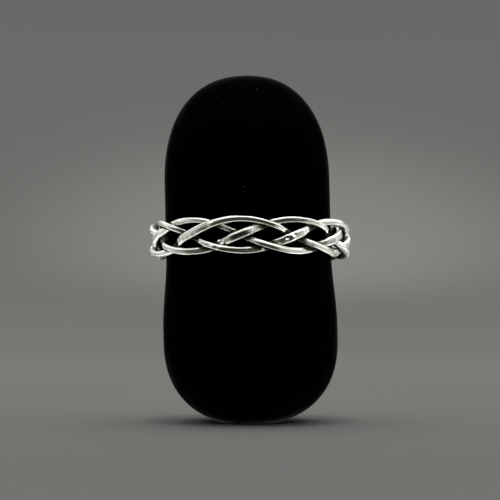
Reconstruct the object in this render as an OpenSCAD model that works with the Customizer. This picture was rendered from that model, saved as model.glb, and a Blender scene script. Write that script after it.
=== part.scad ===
// Open band ring woven from one closed silver wire, held on a plain black domed display stand.
// The wire runs four times round the finger, so the band is a flat plait of four strands.
// The origin is on the table, under the middle of the ring, and the front is towards -Y.

/* [Ring] */
// Diameter of the hollow for the finger, a US size 7
finger_d = 17.35; // [16:0.05:19]
// Arcs of wire along each edge of the band, an odd number so that the wire closes on itself
arcs = 11; // [9:2:13]
// How far the wire's middle swings above and below the ring's middle plane
swing = 1.54; // [1.3:0.02:1.8]
// Turn of the whole plait round the ring, from its middle crossing at the front
plait_turn = -5.7; // [-15:0.1:15]
// First crossing of the upper edge that is woven the other way round, counted from the front
swap_from = -1; // [-5:1:0]
// How many crossings in a row are woven that way
swap_count = 1; // [0:1:5]

/* [Wire] */
// Thickness of the wire, from the finger outwards
wire_t = 0.73; // [0.6:0.01:0.76]
// Width of the wire where it is narrowest
narrow_w = 0.60; // [0.5:0.01:0.65]
// Width of the wire where it lies over itself in the middle of the band
broad_w = 0.88; // [0.7:0.01:0.9]
// How much narrower the arcs of the upper edge are than the mean, and the lower ones broader
edge_trim = 0.05; // [0:0.01:0.08]
// Clearance between two strands where they cross
cross_gap = 0.10; // [0.06:0.01:0.2]
// How far the wire stays level to each side of a crossing, in degrees of its wave
hold = 6; // [2:0.5:9]
// How square the wire's section is, from 2 for an ellipse
section_power = 2.4; // [2:0.1:3]

/* [Stand] */
// Height of the stand
stand_h = 35.1; // [33:0.1:40]
// Clearance between the finger hollow and the stand's waist, on each side
stand_play = 0.31; // [0.3:0.005:0.5]
// How far the stand swells below the waist, on each side
swell = 0.475; // [0.1:0.005:0.6]
// Height where the round base ends and the side begins
base_h = 8.3; // [7:0.1:10]
// Height of the side, from the round base up to the waist
side_h = 8.7; // [6:0.1:9]
// Share of the side that is straight before it tapers
straight = 0.15; // [0:0.01:0.5]
// How much of the round base is cut away to make the flat foot
foot_cut = 0.3; // [0.2:0.05:0.8]
// Height of the rounded top
dome_h = 10.9; // [8:0.1:12]
// How square the stand's round ends are, from 2 for an ellipse
end_power = 2.3; // [2:0.1:3]
// How far the stand leans to the left, in degrees
stand_lean = 1.3; // [0:0.1:1.4]
// How far the middle of its foot is to the right of the ring's middle
foot_x = 0.22; // [0.2:0.01:0.4]

/* [Ring on the stand] */
// Height of the ring's middle above the table
ring_z = 18.39; // [17:0.1:20]
// How far the ring is tipped, with its front raised, in degrees
ring_tilt = 3.2; // [0:0.1:3.2]

/* [Hidden] */
silver = [0.78, 0.78, 0.76];
black = [0.05, 0.05, 0.05];

// The four strands side by side in the band are turns of the one wire
strands = 4;
waves_per_turn = arcs / strands;

// Stations along the wire, a whole number for each eighth of a wave, and the sides of its section
wave_stations = 40;
stations = arcs * wave_stations;
station_turn = 360 * strands / stations;
step_turn = 0.5;
sides = 12;

// The plait's middle radius, and how far the wire steps outwards or inwards from it
level_step = (wire_t + cross_gap) / 2;
plait_r = finger_d / 2 + wire_t / 2 + level_step;

// Phases of one wave where the wire crosses another strand, each with its level there, 1 over
// and -1 under. The first and the last belong to the waves before and after.
crossings = [[-45, -1], [45, 1], [90, -1], [135, 1], [225, -1], [270, 1], [315, -1], [405, 1]];

// Profile of the stand
waist_r = finger_d / 2 - stand_play;
belly_r = waist_r + swell;
end_steps = 14;
side_steps = 10;

function phase(turn) = waves_per_turn * (turn - plait_turn);

// Remainder that is never negative
function wrapped(value, size) = value - size * floor(value / size);

// The crossings of the upper edge are at the phases 45 and 315 of each wave, and they are
// counted round the band from the front
function is_swapped(p) =
    let (count = (p - 45) / 90, place = wrapped(p, 360))
    (place == 45 || place == 315) && wrapped(count - swap_from, arcs) < swap_count;

// Level over one of the crossings, for the wave that starts at the phase start
function crossing_level(start, crossing) =
    is_swapped(start + crossing[0]) ? -crossing[1] : crossing[1];

// Held level over each crossing, with an eased climb or dive between them
function level(p) =
    let (
        start = 360 * floor(p / 360),
        before = max([for (n = [0:len(crossings) - 2]) if (crossings[n][0] <= p - start) n]),
        first = crossings[before],
        last = crossings[before + 1],
        level_1 = crossing_level(start, first),
        level_2 = crossing_level(start, last),
        share = (p - start - first[0] - hold) / (last[0] - first[0] - 2 * hold)
    )
    level_1 + (level_2 - level_1) * eased(min(max(share, 0), 1));

// The wire swells towards phase 270, where it lies over in the middle of the band
function width(p) = narrow_w + (broad_w - narrow_w) * pow((1 - sin(p)) / 2, 2) - edge_trim * cos(p);

function outwards(turn) = [sin(turn), -cos(turn), 0];

function middle(turn) =
    let (p = phase(turn))
    (plait_r + level_step * level(p)) * outwards(turn) + [0, 0, swing * cos(p)];

function unit(v) = v / norm(v);

// Power of a sine or cosine that keeps its sign, for a rounded square section
function squared_off(v, power) = sign(v) * pow(abs(v), 2 / power);

// One ring of points round the wire, square to its run
function section(turn) =
    let (
        along = unit(middle(turn + step_turn) - middle(turn - step_turn)),
        out = unit(outwards(turn) - along * (along * outwards(turn))),
        across = cross(along, out),
        half_w = width(phase(turn)) / 2,
        half_t = wire_t / 2
    )
    [for (side = [0:sides - 1])
        let (a = 360 * side / sides)
        middle(turn)
            + across * half_w * squared_off(cos(a), section_power)
            + out * half_t * squared_off(sin(a), section_power)];

// Closed wire, swept four times round the ring
module woven_wire() {
    points = [for (station = [0:stations - 1]) each section(station * station_turn)];
    faces = [
        for (station = [0:stations - 1])
            for (side = [0:sides - 1])
                let (
                    here = station * sides,
                    next = ((station + 1) % stations) * sides,
                    turned = (side + 1) % sides
                )
                each [
                    [here + side, next + turned, next + side],
                    [here + side, here + turned, next + turned]
                ]
    ];
    color(silver)
        translate([0, 0, ring_z])
            rotate([-ring_tilt, 0, 0])
                polyhedron(points, faces, convexity = 8);
}

// Smooth step from 0 to 1
function eased(t) = t * t * (3 - 2 * t);

// Quarter of a rounded end, from its angle first to its angle last, as [radius, height]
function round_end(r, h, middle_z, first, last) =
    [for (step = [0:end_steps])
        let (a = first + (last - first) * step / end_steps)
        [r * squared_off(cos(a), end_power), middle_z + h * squared_off(sin(a), end_power)]];

// Solid post with a round base, a slight waist and a domed top
module upright_post() {
    base = round_end(belly_r, base_h + foot_cut, base_h, -90, 0);
    side = [for (step = [1:side_steps])
        let (t = step / side_steps)
        [belly_r - swell * eased(max(t - straight, 0) / (1 - straight)), base_h + side_h * t]];
    dome = round_end(waist_r, dome_h, stand_h - dome_h, 0, 90);
    rotate_extrude($fn = 96)
        polygon(concat(base, side, dome));
}

// The post leans a little on its flat foot, which is cut level with the table
module display_stand() {
    room = 2 * stand_h;
    color(black)
        translate([foot_x, 0, 0])
            intersection() {
                rotate([0, -stand_lean, 0])
                    upright_post();
                translate([-room / 2, -room / 2, 0])
                    cube(room);
            }
}

woven_wire();
display_stand();
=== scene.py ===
# Woven silver band ring on its black post: one closed wire, its recesses darkened by oxide and
# painted shade, in soft studio light
import math
import bmesh
import bpy
from mathutils import Matrix, Vector, kdtree, noise


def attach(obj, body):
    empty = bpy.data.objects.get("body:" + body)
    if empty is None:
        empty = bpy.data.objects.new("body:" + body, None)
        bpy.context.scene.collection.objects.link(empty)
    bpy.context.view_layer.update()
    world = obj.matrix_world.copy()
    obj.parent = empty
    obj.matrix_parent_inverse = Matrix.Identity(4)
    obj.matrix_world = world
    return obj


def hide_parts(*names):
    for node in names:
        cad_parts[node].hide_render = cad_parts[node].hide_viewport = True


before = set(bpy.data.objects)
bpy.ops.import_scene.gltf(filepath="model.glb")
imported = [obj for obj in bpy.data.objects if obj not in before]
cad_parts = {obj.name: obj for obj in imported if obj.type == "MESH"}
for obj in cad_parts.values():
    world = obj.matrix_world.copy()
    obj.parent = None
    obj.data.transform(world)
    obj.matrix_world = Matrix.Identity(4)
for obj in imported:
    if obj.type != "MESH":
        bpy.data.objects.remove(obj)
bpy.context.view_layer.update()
scene = bpy.context.scene
mm = 0.001
print("frame loaded")

# The wire, in millimetres and degrees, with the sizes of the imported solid
wire = {
    "fingerDiameter": 17.35,
    "arcs": 11,               # along each edge of the band
    "turns": 4,               # round the finger, so the band is four strands wide
    "swing": 1.54,            # of the wire's middle above and below the band's middle
    "plaitTurn": -5.7,
    "swapFrom": -1,           # upper crossings woven the other way round, counted from the front
    "swapCount": 1,
    "solderedCrossing": -2,   # counted the same way: here the strand below runs into the one above
    "solderedLevel": 0.1,
    "thickness": 0.73,
    "narrowWidth": 0.60,
    "broadWidth": 0.88,
    "edgeTrim": 0.05,
    "slimmer": 0.20,          # how much narrower the wire is near one place, from uneven hammering
    "slimTurn": -74,
    "slimReach": 12,
    "crossGap": 0.10,
    "hold": 6,                # degrees of the wave that the wire stays level beside a crossing
    "sectionPower": 2.8,      # how square the section is, from 2 for an ellipse
    "ringHeight": 18.39,
    "tilt": 3.2,
    "seamTurn": 180,          # the sweep starts behind, where its seam is out of sight
    "stationsPerArc": 208,    # rings of points along one wave
    "directionStep": 0.5,     # to each side of a station, for the wire's direction there
    "sides": 40,
    "crowding": 0.4,          # how much closer the points of a ring are on its outer face
    "seamMerge": 0.002,       # distance of points that are merged where the sweep closes
}

levelStep = (wire["thickness"] + wire["crossGap"]) / 2
plaitRadius = wire["fingerDiameter"] / 2 + wire["thickness"] / 2 + levelStep
# degrees of one wave where the wire crosses another strand, 1 over it or -1 under it
crossings = [(-45, -1), (45, 1), (90, -1), (135, 1), (225, -1), (270, 1), (315, -1), (405, 1)]
tipUp = Matrix.Rotation(math.radians(-wire["tilt"]), 4, "X")
seatRing = Matrix.Translation((0, 0, wire["ringHeight"])) @ tipUp


def squaredOff(value, power):
    return math.copysign(abs(value) ** (2 / power), value)


def smoothStep(low, high, value):
    share = min(max((value - low) / (high - low), 0), 1)
    return share * share * (3 - 2 * share)


def bell(value, middle, reach, power=2):
    return math.exp(-((value - middle) / reach) ** power)


def noiseAlong(along, step, row):
    return noise.noise(Vector((along * step, *row)))


def wirePhase(turn):
    return math.radians(wire["arcs"] / wire["turns"] * (turn - wire["plaitTurn"]))


def crossingLevel(place, level):
    # the crossings of the upper edge are at 45 and 315 degrees of each wave
    if place % 360 not in (45, 315):
        return level
    count = round((place - 45) / 90)
    if level < 0 and (count - wire["solderedCrossing"]) % wire["arcs"] == 0:
        return wire["solderedLevel"]
    swapped = (count - wire["swapFrom"]) % wire["arcs"] < wire["swapCount"]
    return -level if swapped else level


def wireLevel(phase):
    # 1 where the wire lies over another strand, -1 where it lies under
    place = math.degrees(phase)
    start = 360 * math.floor(place / 360)
    hold = wire["hold"]
    for (first, before), (last, after) in zip(crossings, crossings[1:]):
        if first <= place - start < last:
            low, high = start + first, start + last
            before, after = crossingLevel(low, before), crossingLevel(high, after)
            return before + (after - before) * smoothStep(low + hold, high - hold, place)


def wireWidth(phase, frontTurn):
    swell = (wire["broadWidth"] - wire["narrowWidth"]) * ((1 - math.sin(phase)) / 2) ** 2
    slim = 1 - wire["slimmer"] * bell(frontTurn, wire["slimTurn"], wire["slimReach"])
    return (wire["narrowWidth"] + swell - wire["edgeTrim"] * math.cos(phase)) * slim


def outwards(turn):
    angle = math.radians(turn)
    return Vector((math.sin(angle), -math.cos(angle), 0))


def wireMiddle(turn):
    phase = wirePhase(turn)
    rise = Vector((0, 0, wire["swing"] * math.cos(phase)))
    return outwards(turn) * (plaitRadius + levelStep * wireLevel(phase)) + rise


def wireStations():
    # the rings of points along the wire, each square to its run
    count = wire["arcs"] * wire["stationsPerArc"]
    fullTurn = 360 * wire["turns"]
    step = wire["directionStep"]
    stations = []
    for number in range(count):
        turn = wire["seamTurn"] + fullTurn * number / count
        phase = wirePhase(turn)
        frontTurn = (turn + 180) % 360 - 180
        forwards = (wireMiddle(turn + step) - wireMiddle(turn - step)).normalized()
        out = outwards(turn)
        out = (out - forwards * forwards.dot(out)).normalized()
        stations.append({
            "along": turn - wire["seamTurn"],
            "phase": phase,
            "frontTurn": frontTurn,         # degrees round the band, from its front
            "middle": wireMiddle(turn),
            "across": forwards.cross(out),
            "out": out,
            "width": wireWidth(phase, frontTurn),
        })
    return stations


def sectionPoint(station, around):
    power = wire["sectionPower"]
    wide = abs(math.cos(around) / station["width"] * 2) ** power
    thick = abs(math.sin(around) / wire["thickness"] * 2) ** power
    reach = (wide + thick) ** (-1 / power)
    way = station["across"] * math.cos(around) + station["out"] * math.sin(around)
    return station["middle"] + way * reach


# Hand work on the wire's surface. Turns round the section are in radians, from the middle of its
# outer face. Each row picks its own noise, and each step is how fast that changes along the wire
handWork = {
    "depth": 0.018,           # how far hammering moves the surface
    "length": 1.5,
    "inOut": 0.4,             # how differently the inner and the outer face are hammered
    "row": (9.3, 4.7, 2.1),
    "creases": [
        {"place": 0.42, "row": (11.3, 2.9), "wanderRow": (3.1, 7.7)},
        {"place": -0.34, "row": (16.3, 2.9), "wanderRow": (3.1, 12.7)},
    ],
    "creaseDepth": 0.026,
    "creaseWidth": 0.15,
    "creaseStep": 0.01564,
    "creaseLevels": (-0.1, 0.25),       # of the noise, between which a crease comes
    "wander": 0.22,
    "wanderStep": 0.02151,
    "hollow": 0.022,          # how far the middle of the outer face is hollowed
    "hollowWidth": 0.42,
}


def handShift(place):
    # one noise for each direction, because noise_vector gives other values on each run
    return Vector([noise.noise(place + Vector(handWork["row"]) * axis) for axis in range(1, 4)])


def creaseDepth(along, around):
    # shallow lines along the outer face, which come and go, and the hollow of that face
    aside = around - math.pi / 2
    depth = 0
    for crease in handWork["creases"]:
        strength = noiseAlong(along, handWork["creaseStep"], crease["row"])
        strength = smoothStep(*handWork["creaseLevels"], strength)
        wander = noiseAlong(along, handWork["wanderStep"], crease["wanderRow"])
        wander *= handWork["wander"]
        depth += strength * bell(aside - crease["place"], wander, handWork["creaseWidth"])
    hollow = handWork["hollow"] * bell(aside, 0, handWork["hollowWidth"])
    return depth * handWork["creaseDepth"] + hollow


# Where tarnish and painted shade lie, as amounts from 0 to 1. A pair holds the values between which
# something comes. Faces are told by the sine round the section, 1 on the outer one and -1 on the
# inner one
tarnishAndShade = {
    "near": 0.62,             # distances from another strand's middle between which it fades
    "far": 0.86,
    "diveFar": 1.12,          # the same where the wire dives under a leaf
    "dives": [(90, 36), (236, 13), (304, 13)],      # degrees of the wave and reach of each dive
    "ownShare": 8,            # within an eighth of a wave, a strand isn't another one
    "arcEnd": (314, 326),     # degrees of the wave, past which an arc is polished
    "arcEndSpared": 0.7,
    "risen": (-0.7, 0.5),     # levels of the wire as it comes up from under another strand
    "leaf": (0.80, 0.96),     # how nearly it lies over in the middle of the band
    "leafSpared": 0.6,
    "inwardShade": (0.1, 0.9),     # how far a face looks at the finger, which painted shade darkens
    "inwardAmount": 0.5,
    "bandEndShade": (68, 84),      # degrees round the band, past which painted shade darkens all but the outer face
    "bandEndFace": (-0.1, 0.6),
    "bandEndAmount": 0.70,
    "worn": 0.40,             # in patches that polish leaves in the hollow of the outer face
    "wornWidth": 0.36,
    "wornLevels": (-0.45, 0.35),
    "patch": {"step": 0.01369, "row": (1.7, 5.3)},
    "crumb": {"step": 0.04889, "row": (6.1, 0.4), "amount": 0.5},
    "drift": {"step": 0.01956, "row": (8.8, 3.6), "amount": 0.25},
    "bright": [(-78, 20), (62, 22)],    # degrees round the band and reach, with few patches
    "brightSpared": 0.85,
}


def wornMiddle(along, around, frontTurn):
    # patches of tarnish that polish leaves in the hollow of the outer face
    patch, crumb, drift = tarnishAndShade["patch"], tarnishAndShade["crumb"], tarnishAndShade["drift"]
    patches = noiseAlong(along, patch["step"], patch["row"])
    patches += crumb["amount"] * noiseAlong(along, crumb["step"], crumb["row"])
    side = drift["amount"] * noiseAlong(along, drift["step"], drift["row"])
    band = bell(around - math.pi / 2, side, tarnishAndShade["wornWidth"], power=4)
    bright = max(bell(frontTurn, place, reach) for place, reach in tarnishAndShade["bright"])
    worn = tarnishAndShade["worn"] * band * smoothStep(*tarnishAndShade["wornLevels"], patches)
    return worn * (1 - tarnishAndShade["brightSpared"] * bright)


def strandGap(tree, point, number, count):
    # distance to the middle of another strand, as far as tarnish and painted shade can reach
    ownStations = wire["stationsPerArc"] // tarnishAndShade["ownShare"]
    gap = tarnishAndShade["diveFar"]
    for near, other, distance in tree.find_range(point, tarnishAndShade["diveFar"]):
        apart = abs(other - number)
        if min(apart, count - apart) > ownStations:
            gap = min(gap, distance)
    return gap


def tarnishAndShadeAt(station, around, gap):
    # mostly in the recess next to another strand, where polish doesn't reach and shade falls, so
    # oxide and painted shade together; faces that look at the finger and the sides of the band's
    # ends get painted shade
    phase = station["phase"]
    waveTurn = math.degrees(phase) % 360
    dive = max(bell(waveTurn, place, reach) for place, reach in tarnishAndShade["dives"])
    far = tarnishAndShade["far"] + (tarnishAndShade["diveFar"] - tarnishAndShade["far"]) * dive
    strength = 1 - tarnishAndShade["arcEndSpared"] * smoothStep(*tarnishAndShade["arcEnd"], waveTurn)
    under = 1 - smoothStep(*tarnishAndShade["risen"], wireLevel(phase))
    leaf = tarnishAndShade["leafSpared"] * smoothStep(*tarnishAndShade["leaf"], -math.sin(phase))
    # oxide and painted shade in the recess and the crevice beside another strand, deepest where the
    # wire dives under
    recess = strength * under * (1 - smoothStep(tarnishAndShade["near"], far, gap)) * (1 - leaf)
    crevice = strength * (1 - smoothStep(wire["thickness"] / 2, tarnishAndShade["near"], gap))
    worn = wornMiddle(station["along"], around, station["frontTurn"])
    # painted shade at the band's left and right ends, on all but the outer face
    bandEndShade = tarnishAndShade["bandEndAmount"] * smoothStep(*tarnishAndShade["bandEndShade"], abs(station["frontTurn"]))
    bandEndShade *= 1 - smoothStep(*tarnishAndShade["bandEndFace"], math.sin(around))
    # painted shade on faces that look at the finger
    inwardShade = tarnishAndShade["inwardAmount"] * smoothStep(*tarnishAndShade["inwardShade"], -math.sin(around))
    return max(recess, crevice, worn, bandEndShade) + inwardShade


# Small marks of the maker's work: degrees round the band, height in the band, size, rise, polish,
# where less than 0 is a stain, frost, where the silver is matt, and tip, where a facet looks up
markColumns = ("turn", "height", "size", "rise", "polish", "frost", "tip")
markRows = [
    (-21.8, -1.03, 0.36, 0.02, 0.8, 0.4, 0.24),
    (-17.4, -1.18, 0.26, 0.02, 0.8, 0.4, 0.24),
    (-24.8, 0.81, 0.34, -0.03, -0.30, 0.4, 0),
    (-29.1, 0.78, 0.28, 0.02, 0.5, 0.4, 0),
    (-22.6, 1.20, 0.30, 0.02, 0.6, 0.4, 0.20),
    (-28.6, 1.46, 0.40, 0, 0.5, 0.5, 0),
    (-17.0, 0.80, 0.30, 0, 0.05, 0.2, 0),
    (-13.4, 0.56, 0.30, 0, 0.05, 0.2, 0),
    (-46.5, 1.14, 0.45, 0.10, -0.15, 0.5, 0),
    (-49.2, 1.08, 0.50, 0, -0.22, 0.5, 0),
    (-33.0, 0.05, 0.15, -0.03, -0.3, 0, 0),
    (-36.5, -0.22, 0.15, -0.03, -0.3, 0, 0),
    (-8.2, -0.24, 0.45, -0.02, -0.30, 0, 0),
    (-4.2, 0.10, 0.45, -0.02, -0.30, 0, 0),
    (20.9, -0.43, 0.25, 0, 0.9, 0.1, 0.62),
    (24.7, -0.11, 0.29, 0, 0.9, 0.1, 0.42),
    (22.9, -0.32, 0.09, -0.05, -1.4, 0, 0),
    (7.2, -1.42, 0.15, 0.07, 1.0, 0.8, 0),
    (31.5, 1.28, 0.60, 0, -0.26, 0.5, 0),
    (33.2, -0.62, 0.45, -0.02, -0.50, 0.6, 0),
    (37.2, -0.98, 0.45, 0.02, -0.45, 0.6, 0),
    (46.5, 0.10, 0.26, -0.02, -0.45, 0, 0),
    (51.0, -0.35, 0.36, 0, 0.7, 0.3, 0.15),
    (56.0, 0.15, 0.42, 0, 0.7, 0.3, 0.15),
    (47.5, -1.46, 0.70, 0, 0.6, 0.5, 0),
    (66.0, -1.70, 0.60, 0, 0.9, 1.5, 0),
    (74.0, -1.70, 0.60, 0, 0.9, 1.5, 0),
]
solderMarks = [dict(zip(markColumns, row), below=False) for row in markRows]

# How the marks lie on the wire
marking = {
    "sameStrand": 0.45,       # how far from a strand's middle its marks may lie
    "reach": 3,               # in sizes of the mark
    "innermost": -0.2,        # sine round the section, where marks end
    "stainFace": (0.40, 0.80),          # the same, between which a stain comes
}

# Bright edges of the strand below the swapped crossing, each a line of marks between two places
brightEdges = {
    "lines": [
        {"from": (-18.9, 1.10), "to": (-12.2, 0.66)},
        {"from": (-23.2, 0.79), "to": (-17.6, 0.42)},
    ],
    "marks": 6,
    "mark": {"size": 0.13, "rise": 0.06, "polish": 1.3, "frost": 0.6, "tip": 0, "below": True},
}
for line in brightEdges["lines"]:
    for number in range(brightEdges["marks"]):
        share = number / (brightEdges["marks"] - 1)
        turn, height = [a + (b - a) * share for a, b in zip(line["from"], line["to"])]
        solderMarks.append({"turn": turn, "height": height, **brightEdges["mark"]})

# Flattened beads of solder beside the wire: degrees round the band, height in the band, distance
# out and radius
beads = {
    "flatness": 0.55,
    "tip": 27,
    "frost": 0.5,
    "subdivisions": 3,
    "rows": [
        {"turn": -17.9, "height": -0.62, "out": 9.94, "radius": 0.16},
        {"turn": -16.4, "height": -0.86, "out": 9.86, "radius": 0.21},
        {"turn": 7.4, "height": -1.44, "out": 9.75, "radius": 0.12},
    ],
}


def markPlace(mark):
    # on the outer face of the strand that the mark belongs to
    strands = []
    for number in range(wire["turns"]):
        phase = wirePhase(mark["turn"] + 360 * number)
        strands.append((abs(wire["swing"] * math.cos(phase) - mark["height"]), wireLevel(phase)))
    levels = [level for apart, level in strands if apart < marking["sameStrand"]]
    levels = levels or [min(strands)[1]]
    level = min(levels) if mark["below"] else max(levels)
    radius = plaitRadius + levelStep * level + wire["thickness"] / 2
    return outwards(mark["turn"]) * radius + Vector((0, 0, mark["height"]))


def markedPoint(point, dark, out, face, marks):
    # the surface as the marks near it move, polish and frost it
    frost = 0
    for place, mark in marks:
        reach = (point - place).length / mark["size"]
        if reach < marking["reach"] and face > marking["innermost"]:
            share = math.exp(-reach * reach)
            tipped = mark["tip"] * (place.z - point.z) * math.exp(-reach ** 4)
            point = point + out * (mark["rise"] * share + tipped)
            facing = smoothStep(*marking["stainFace"], face) if mark["polish"] < 0 else 1
            dark -= mark["polish"] * share * facing
            frost += mark["frost"] * share
    return point, dark, frost


def addBead(work, bead, frostLayer):
    place = outwards(bead["turn"]) * bead["out"] + Vector((0, 0, bead["height"]))
    flattened = Matrix.Diagonal((1, beads["flatness"], 1, 1))
    tipped = Matrix.Rotation(math.radians(-beads["tip"]), 4, "X") @ flattened
    tipped = Matrix.Rotation(math.radians(bead["turn"]), 4, "Z") @ tipped
    beadPlace = Matrix.Translation(seatRing @ place * mm) @ tipped
    made = bmesh.ops.create_icosphere(work, subdivisions=beads["subdivisions"],
                                      radius=bead["radius"] * mm, matrix=beadPlace)
    for vert in made["verts"]:
        vert[frostLayer] = beads["frost"]


def makeWire():
    stations = wireStations()
    count, sides = len(stations), wire["sides"]
    tree = kdtree.KDTree(count)
    for number, station in enumerate(stations):
        tree.insert(station["middle"], number)
    tree.balance()
    marks = [(markPlace(mark), mark) for mark in solderMarks]

    # a flat grid, as long as the wire and as wide as the way round it, is rolled up into the wire
    work = bmesh.new()
    work.loops.layers.uv.new("alongWire")
    tarnishAndShadeLayer = work.verts.layers.float.new("tarnishAndShade")
    frostLayer = work.verts.layers.float.new("frost")
    bmesh.ops.create_grid(work, x_segments=count, y_segments=sides, size=0.5, calc_uvs=True)
    for vert in work.verts:
        number = round((vert.co.x + 0.5) * count) % count
        side = round((vert.co.y + 0.5) * sides) % sides
        around = 2 * math.pi * side / sides
        around += wire["crowding"] * math.sin(around) - math.pi / 2      # the seam faces the finger
        face = math.sin(around)
        station = stations[number]
        out = station["out"]
        point = sectionPoint(station, around)
        # the amount of tarnish and painted shade at this point
        dark = tarnishAndShadeAt(station, around, strandGap(tree, point, number, count))
        shift = handShift(point / handWork["length"] + out * face * handWork["inOut"])
        point += shift * handWork["depth"] - out * creaseDepth(station["along"], around)
        point, dark, frost = markedPoint(point, dark, out, face, marks)
        vert[tarnishAndShadeLayer] = min(max(dark, 0), 1)
        vert[frostLayer] = min(frost, 1)
        vert.co = seatRing @ point * mm
    bmesh.ops.remove_doubles(work, verts=work.verts, dist=wire["seamMerge"] * mm)
    for bead in beads["rows"]:
        addBead(work, bead, frostLayer)
    return finishPiece(work, "woven_silver_wire")


def finishPiece(work, name):
    bmesh.ops.recalc_face_normals(work, faces=work.faces)
    mesh = bpy.data.meshes.new(name)
    work.to_mesh(mesh)
    work.free()
    mesh.polygons.foreach_set("use_smooth", [True] * len(mesh.polygons))
    piece = bpy.data.objects.new(name, mesh)
    scene.collection.objects.link(piece)
    return piece


wirePiece = makeWire()
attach(wirePiece, "root")
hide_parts("woven_wire")
print("wire woven:", len(wirePiece.data.polygons), "faces")

# The post, in millimetres and degrees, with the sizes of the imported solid
post = {
    "height": 35.1,
    "play": 0.31,             # round the post, inside the ring
    "swell": 0.475,
    "baseHeight": 8.3,
    "sideHeight": 8.7,
    "straight": 0.15,         # share of the side below its taper
    "footCut": 0.3,
    "footRound": 0.05,
    "domeHeight": 10.9,
    "endPower": 2.3,
    "lean": 1.3,
    "footX": 0.22,
    "endSteps": 26,
    "sideSteps": 20,
    "turnSteps": 128,
}
mergeDistance = 0.001         # of points at the seam and the poles of a turned form


def roundEnd(radius, height, middle, first, last):
    points = []
    for step in range(post["endSteps"] + 1):
        angle = math.radians(first + (last - first) * step / post["endSteps"])
        x = radius * squaredOff(max(math.cos(angle), 0), post["endPower"])
        z = middle + height * squaredOff(math.sin(angle), post["endPower"])
        points.append(Vector((x, 0, z)))
    return points


def turnProfile(work, profile, steps):
    # full turn of a profile round the upright axis, closed at its seam and poles
    verts = [work.verts.new(point * mm) for point in profile]
    edges = [work.edges.new(pair) for pair in zip(verts, verts[1:])]
    bmesh.ops.spin(work, geom=verts + edges, cent=(0, 0, 0), axis=(0, 0, 1), dvec=(0, 0, 0),
                   angle=2 * math.pi, steps=steps, use_merge=True)
    bmesh.ops.remove_doubles(work, verts=work.verts, dist=mergeDistance * mm)


def makePost():
    waist = wire["fingerDiameter"] / 2 - post["play"]
    belly = waist + post["swell"]
    profile = roundEnd(belly, post["baseHeight"] + post["footCut"], post["baseHeight"], -90, 0)
    for step in range(1, post["sideSteps"] + 1):
        share = step / post["sideSteps"]
        x = belly - post["swell"] * smoothStep(post["straight"], 1, share)
        profile.append(Vector((x, 0, post["baseHeight"] + post["sideHeight"] * share)))
    profile += roundEnd(waist, post["domeHeight"], post["height"] - post["domeHeight"], 0, 90)
    work = bmesh.new()
    turnProfile(work, profile, post["turnSteps"])
    lean = Matrix.Rotation(math.radians(-post["lean"]), 4, "Y")
    place = Matrix.Translation((post["footX"] * mm, 0, 0)) @ lean
    bmesh.ops.transform(work, matrix=place, verts=work.verts)
    # the foot is cut level with the table
    geom = work.verts[:] + work.edges[:] + work.faces[:]
    bmesh.ops.bisect_plane(work, geom=geom, plane_co=(0, 0, 0), plane_no=(0, 0, 1),
                           clear_inner=True)
    rim = [edge for edge in work.edges if edge.is_boundary]
    bmesh.ops.holes_fill(work, edges=rim, sides=0)
    bmesh.ops.bevel(work, geom=rim, affect="EDGES", offset=post["footRound"] * mm, segments=2,
                    profile=0.5, material=-1)
    return finishPiece(work, "black_post")


postPiece = makePost()
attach(postPiece, "root")
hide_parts("display_stand")
print("post turned:", len(postPiece.data.polygons), "faces")


# Finishes
def newMaterial(name):
    material = bpy.data.materials.new(name)
    material.use_nodes = True
    tree = material.node_tree
    return material, tree, tree.nodes["Principled BSDF"]


def addNode(tree, kind, **settings):
    node = tree.nodes.new(kind)
    for name, value in settings.items():
        setattr(node, name, value)
    return node


def colourRamp(tree, source, stops):
    ramp = addNode(tree, "ShaderNodeValToRGB")
    ramp.color_ramp.interpolation = "EASE"
    points = ramp.color_ramp.elements
    while len(points) < len(stops):
        points.new(0.5)
    for point, (place, colour) in zip(points, stops):
        point.position = place
        point.color = (*colour, 1) if isinstance(colour, tuple) else (colour, colour, colour, 1)
    tree.links.new(source, ramp.inputs["Fac"])
    return ramp.outputs["Color"]


def mathNode(tree, operation, *values, clamp=False):
    node = addNode(tree, "ShaderNodeMath", operation=operation, use_clamp=clamp)
    for socket, value in zip(node.inputs, values):
        if isinstance(value, bpy.types.NodeSocket):
            tree.links.new(value, socket)
        else:
            socket.default_value = value
    return node.outputs[0]


def unevenNode(tree, source, amount):
    # noise from 0 to 1, brought to an amount round nought
    return mathNode(tree, "MULTIPLY_ADD", source, amount, -amount / 2)


def noiseNode(tree, vector, scale, detail, roughness):
    node = addNode(tree, "ShaderNodeTexNoise")
    node.inputs["Scale"].default_value = scale
    node.inputs["Detail"].default_value = detail
    node.inputs["Roughness"].default_value = roughness
    tree.links.new(vector, node.inputs["Vector"])
    return node.outputs["Fac"]


def bumpNode(tree, height, distance, strength, normal=None):
    node = addNode(tree, "ShaderNodeBump")
    node.inputs["Distance"].default_value = distance
    node.inputs["Strength"].default_value = strength
    tree.links.new(height, node.inputs["Height"])
    if normal:
        tree.links.new(normal, node.inputs["Normal"])
    return node.outputs["Normal"]


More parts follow.
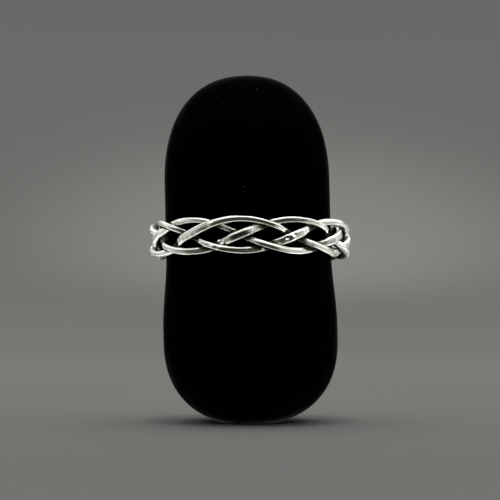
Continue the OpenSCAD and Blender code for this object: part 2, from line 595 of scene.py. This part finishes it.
# In both finishes a noise is given as scale, detail and roughness, and a depth in millimetres. The
# silver's shades and roughness go by the amount of tarnish and painted shade
silverFinish = {
    "clouds": (1400, 4.0, 0.6),
    "specks": (6500, 3.0, 0.6),
    "raggedClouds": 0.5,      # how far the noises break up the edge of the tarnish and painted shade
    "raggedSpecks": 0.4,
    "shades": [(0.0, (0.93, 0.93, 0.875)), (0.27, (0.93, 0.93, 0.875)), (0.42, (0.50, 0.48, 0.43)),
               (0.60, (0.15, 0.133, 0.100)), (0.95, (0.040, 0.035, 0.026))],
    "roughness": [(0.0, 0.06), (0.5, 0.26), (1.0, 0.42)],
    "unevenRoughness": 0.16,
    "frostRoughness": 0.5,    # added where the silver is frosted
    "lines": [                # fine lines, drawn along the wire: how many round it and along it
        {"round": 3.6, "along": 40, "depth": 0.045},
        {"round": 10.2, "along": 110, "depth": 0.010},
    ],
    "lineNoise": (1.0, 2.0, 0.5),
    "pits": 0.004,
}


def silverMaterial():
    material, tree, shader = newMaterial("oxidised silver with painted shade")
    finish = silverFinish
    places = addNode(tree, "ShaderNodeTexCoord").outputs["Object"]
    # the amount of tarnish and painted shade, which darkens the silver's colour
    dark = addNode(tree, "ShaderNodeAttribute", attribute_name="tarnishAndShade").outputs["Fac"]
    frost = addNode(tree, "ShaderNodeAttribute", attribute_name="frost").outputs["Fac"]
    clouds = noiseNode(tree, places, *finish["clouds"])
    specks = noiseNode(tree, places, *finish["specks"])
    ragged = mathNode(tree, "ADD", unevenNode(tree, clouds, finish["raggedClouds"]),
                      unevenNode(tree, specks, finish["raggedSpecks"]))
    amount = mathNode(tree, "ADD", dark, ragged, clamp=True)
    colour = colourRamp(tree, amount, finish["shades"])
    tree.links.new(colour, shader.inputs["Base Color"])
    shader.inputs["Metallic"].default_value = 1
    rough = colourRamp(tree, amount, finish["roughness"])
    matt = mathNode(tree, "MULTIPLY", frost, finish["frostRoughness"])
    matt = mathNode(tree, "ADD", matt, unevenNode(tree, clouds, finish["unevenRoughness"]))
    rough = mathNode(tree, "ADD", rough, matt, clamp=True)
    tree.links.new(rough, shader.inputs["Roughness"])
    uv = addNode(tree, "ShaderNodeUVMap", uv_map="alongWire").outputs["UV"]
    normal = None
    for line in finish["lines"]:
        stretch = addNode(tree, "ShaderNodeMapping")
        stretch.inputs["Scale"].default_value = (line["along"], line["round"], 1)
        tree.links.new(uv, stretch.inputs["Vector"])
        height = noiseNode(tree, stretch.outputs["Vector"], *finish["lineNoise"])
        normal = bumpNode(tree, height, line["depth"] * mm, 1.0, normal)
    normal = bumpNode(tree, specks, finish["pits"] * mm, 1.0, normal)
    tree.links.new(normal, shader.inputs["Normal"])
    return material


blackFinish = {
    "shades": [(0.0, (0.0004, 0.0006, 0.0005)), (1.0, (0.05, 0.053, 0.05))],    # bare and dusty
    "dustScale": 600,
    "dustSize": 0.042,
    "specular": 0.0004,
    "tint": (0.75, 1.0, 0.93),
    "clouds": (260, 3.0, 0.55),
    "roughness": [(0.25, 0.12), (0.75, 0.18)],
    "grain": (5200, 3.0, 0.6),
    "grainDepth": 0.008,
    "grainStrength": 0.5,
}


def blackMaterial():
    material, tree, shader = newMaterial("satin black")
    finish = blackFinish
    places = addNode(tree, "ShaderNodeTexCoord").outputs["Object"]
    # a few small specks of dust
    specks = addNode(tree, "ShaderNodeTexVoronoi", feature="F1")
    specks.inputs["Scale"].default_value = finish["dustScale"]
    tree.links.new(places, specks.inputs["Vector"])
    near = mathNode(tree, "LESS_THAN", specks.outputs["Distance"], finish["dustSize"])
    chosen = addNode(tree, "ShaderNodeSeparateColor")
    tree.links.new(specks.outputs["Color"], chosen.inputs["Color"])
    dust = mathNode(tree, "MULTIPLY", near, chosen.outputs["Green"])
    tree.links.new(colourRamp(tree, dust, finish["shades"]), shader.inputs["Base Color"])
    shader.inputs["Specular IOR Level"].default_value = finish["specular"]
    shader.inputs["Specular Tint"].default_value = (*finish["tint"], 1)
    rough = colourRamp(tree, noiseNode(tree, places, *finish["clouds"]), finish["roughness"])
    tree.links.new(rough, shader.inputs["Roughness"])
    grain = noiseNode(tree, places, *finish["grain"])
    normal = bumpNode(tree, grain, finish["grainDepth"] * mm, finish["grainStrength"])
    tree.links.new(normal, shader.inputs["Normal"])
    return material


wirePiece.data.materials.append(silverMaterial())
postPiece.data.materials.append(blackMaterial())
print("finishes made")

# Studio, in millimetres: a pale round bowl of a backdrop, far enough out for the camera to walk
# round the ring
studio = {
    "floor": 320,
    "curve": 600,
    "wall": 200,
    "curveSteps": 32,
    "turnSteps": 96,
    "tones": [(0.0, (0.162, 0.159, 0.150)), (0.12, (0.175, 0.173, 0.163)),
              (0.38, (0.203, 0.200, 0.188)), (0.50, (0.188, 0.185, 0.175)),
              (0.62, (0.206, 0.203, 0.193)), (0.72, (0.192, 0.189, 0.181))],    # by metres out, painted shade and light: darkest round the post, with lighter and darker rings further out
    "roughness": 0.9,
    "specular": 0.1,
}


def makeBackdrop():
    floor, curve, steps = studio["floor"], studio["curve"], studio["curveSteps"]
    profile = [Vector((0, 0, 0)), Vector((floor / 3, 0, 0))]
    for step in range(steps + 1):
        angle = math.radians(90 * step / steps)
        x, z = floor + curve * math.sin(angle), curve - curve * math.cos(angle)
        profile.append(Vector((x, 0, z)))
    profile.append(Vector((floor + curve, 0, curve + studio["wall"])))
    work = bmesh.new()
    turnProfile(work, profile, studio["turnSteps"])
    piece = finishPiece(work, "backdrop")
    # the bowl is seen from inside
    if piece.data.polygons[0].normal.z < 0:
        piece.data.flip_normals()
    return piece


def paperMaterial():
    material, tree, shader = newMaterial("pale paper with painted shade")
    places = addNode(tree, "ShaderNodeTexCoord").outputs["Object"]
    reach = addNode(tree, "ShaderNodeVectorMath", operation="LENGTH")
    tree.links.new(places, reach.inputs[0])
    # painted shade and light on the backdrop, by distance from the middle
    tone = colourRamp(tree, reach.outputs["Value"], studio["tones"])
    tree.links.new(tone, shader.inputs["Base Color"])
    shader.inputs["Roughness"].default_value = studio["roughness"]
    shader.inputs["Specular IOR Level"].default_value = studio["specular"]
    return material


backdrop = makeBackdrop()
backdrop.data.materials.append(paperMaterial())
backdrop.visible_glossy = False
print("backdrop made")

# Soft surround, dark at the height of the lens in front and behind, as a metal sees a studio. The
# sky goes by height alone, and the belt round the horizon by height and turn. Heights go from 0
# straight below to 1 straight above, and turns from 0 behind to 1 at the lens
surround = {
    "skyByHeight": [(0.0, 1.0), (0.03, 0.8), (0.075, 0.30), (0.20, 0.18), (0.29, 0.036),
                    (0.61, 0.036), (0.66, 0.12), (0.71, 0.60), (0.76, 1.30), (1.0, 1.15)],
    "beltByHeight": [(0.02, 0.0), (0.09, 1.2), (0.22, 1.4), (0.34, 0.8), (0.48, 0.58),
                     (0.60, 0.85), (0.68, 1.35), (0.80, 0.0)],
    "beltByTurn": [(0.0, 0.45), (0.12, 0.85), (0.30, 1.05), (0.48, 0.80), (0.74, 0.50),
                   (0.84, 0.26), (0.90, 0.09), (0.95, 0.0), (1.0, 0.0)],
    "darkTurn": -5,           # degrees from the lens to the middle of the dark part
    "stripes": (2.2, 2.2, 8.0),
    "stripeNoise": (1.0, 2.0, 0.5),
    "striped": [(0.36, 0.42), (0.64, 1.50)],
    "rightBrighter": 0.10,
    "olive": 1.08,            # the darker it is, the more olive
    "leastFlat": 0.001,       # keeps the ways straight up and down from dividing by nought
}


def makeSurround():
    world = bpy.data.worlds.new("soft surround")
    scene.world = world
    world.use_nodes = True
    tree = world.node_tree
    lamp = tree.nodes["Background"]
    way = addNode(tree, "ShaderNodeTexCoord").outputs["Generated"]
    parts = addNode(tree, "ShaderNodeSeparateXYZ")
    tree.links.new(way, parts.inputs[0])
    x, y, z = parts.outputs
    flat = mathNode(tree, "ADD", mathNode(tree, "MULTIPLY", x, x), mathNode(tree, "MULTIPLY", y, y))
    flat = mathNode(tree, "MAXIMUM", mathNode(tree, "SQRT", flat), surround["leastFlat"])
    darkTurn = math.radians(surround["darkTurn"])
    ahead = mathNode(tree, "ADD", mathNode(tree, "MULTIPLY", y, -math.cos(darkTurn)),
                     mathNode(tree, "MULTIPLY", x, math.sin(darkTurn)))
    front = mathNode(tree, "DIVIDE", ahead, flat)
    height = mathNode(tree, "MULTIPLY_ADD", z, 0.5, 0.5)
    turned = mathNode(tree, "MULTIPLY_ADD", front, 0.5, 0.5)
    sky = colourRamp(tree, height, surround["skyByHeight"])
    belt = mathNode(tree, "MULTIPLY", colourRamp(tree, turned, surround["beltByTurn"]),
                    colourRamp(tree, height, surround["beltByHeight"]))
    stretch = addNode(tree, "ShaderNodeMapping")
    stretch.inputs["Scale"].default_value = surround["stripes"]
    tree.links.new(way, stretch.inputs["Vector"])
    stripes = noiseNode(tree, stretch.outputs["Vector"], *surround["stripeNoise"])
    belt = mathNode(tree, "MULTIPLY", belt, colourRamp(tree, stripes, surround["striped"]))
    right = mathNode(tree, "MULTIPLY_ADD", x, surround["rightBrighter"], 1.0)
    light = mathNode(tree, "MULTIPLY", mathNode(tree, "MAXIMUM", sky, belt), right)
    shaded = addNode(tree, "ShaderNodeCombineColor")
    tree.links.new(light, shaded.inputs["Red"])
    tree.links.new(light, shaded.inputs["Green"])
    tree.links.new(mathNode(tree, "POWER", light, surround["olive"]), shaded.inputs["Blue"])
    tree.links.new(shaded.outputs["Color"], lamp.inputs["Color"])
    lamp.inputs["Strength"].default_value = 1.0


makeSurround()

# Lamps, in millimetres, degrees and watts
softbox = {"name": "top softbox", "place": (0, 60, 420), "aim": (0, 0, 15), "size": (300, 240),
           "watts": 0.4}
spots = [
    {"name": "backdrop spot", "place": (40, 80, 430), "aim": (10, 484, 22), "cone": 19,
     "watts": 7.4},
    {"name": "floor spot", "place": (0, -40, 430), "aim": (0, 10, 0), "cone": 13, "watts": 1.3},
    {"name": "wide floor spot", "place": (5, 100, 430), "aim": (5, 105, 0), "cone": 30,
     "watts": 0.8},
]
spotSize = 30


def addLamp(kind, light):
    data = bpy.data.lights.new(light["name"], kind)
    data.energy = light["watts"]
    lamp = bpy.data.objects.new(light["name"], data)
    scene.collection.objects.link(lamp)
    place, aim = Vector(light["place"]), Vector(light["aim"])
    lamp.location = place * mm
    lamp.rotation_euler = (aim - place).to_track_quat("-Z", "Y").to_euler()
    return lamp


lamp = addLamp("AREA", softbox)
lamp.data.shape = "RECTANGLE"
lamp.data.size, lamp.data.size_y = [side * mm for side in softbox["size"]]
lamp.visible_camera = False
for spot in spots:
    lamp = addLamp("SPOT", spot)
    lamp.data.spot_size = math.radians(spot["cone"])
    lamp.data.spot_blend = 1.0
    lamp.data.shadow_soft_size = spotSize * mm
    lamp.visible_glossy = False
print("lights set")

# Camera, level with the ring's lower edge, where the photograph was taken from
view = {
    "distance": 253,
    "height": 17.41,
    "sideways": -0.03,
    "frameWidth": 50.73,      # what the frame takes in at the ring's middle
    "sensor": 36,
    "clip": (10, 10000),
}
cameraData = bpy.data.cameras.new("camera")
cameraData.sensor_width = view["sensor"]
cameraData.lens = view["sensor"] * view["distance"] / view["frameWidth"]
cameraData.clip_start, cameraData.clip_end = [distance * mm for distance in view["clip"]]
camera = bpy.data.objects.new("camera", cameraData)
scene.collection.objects.link(camera)
camera.location = Vector((view["sideways"], -view["distance"], view["height"])) * mm
camera.rotation_euler = (math.pi / 2, 0, 0)
scene.camera = camera
scene.view_settings.view_transform = "Standard"
print("camera set")
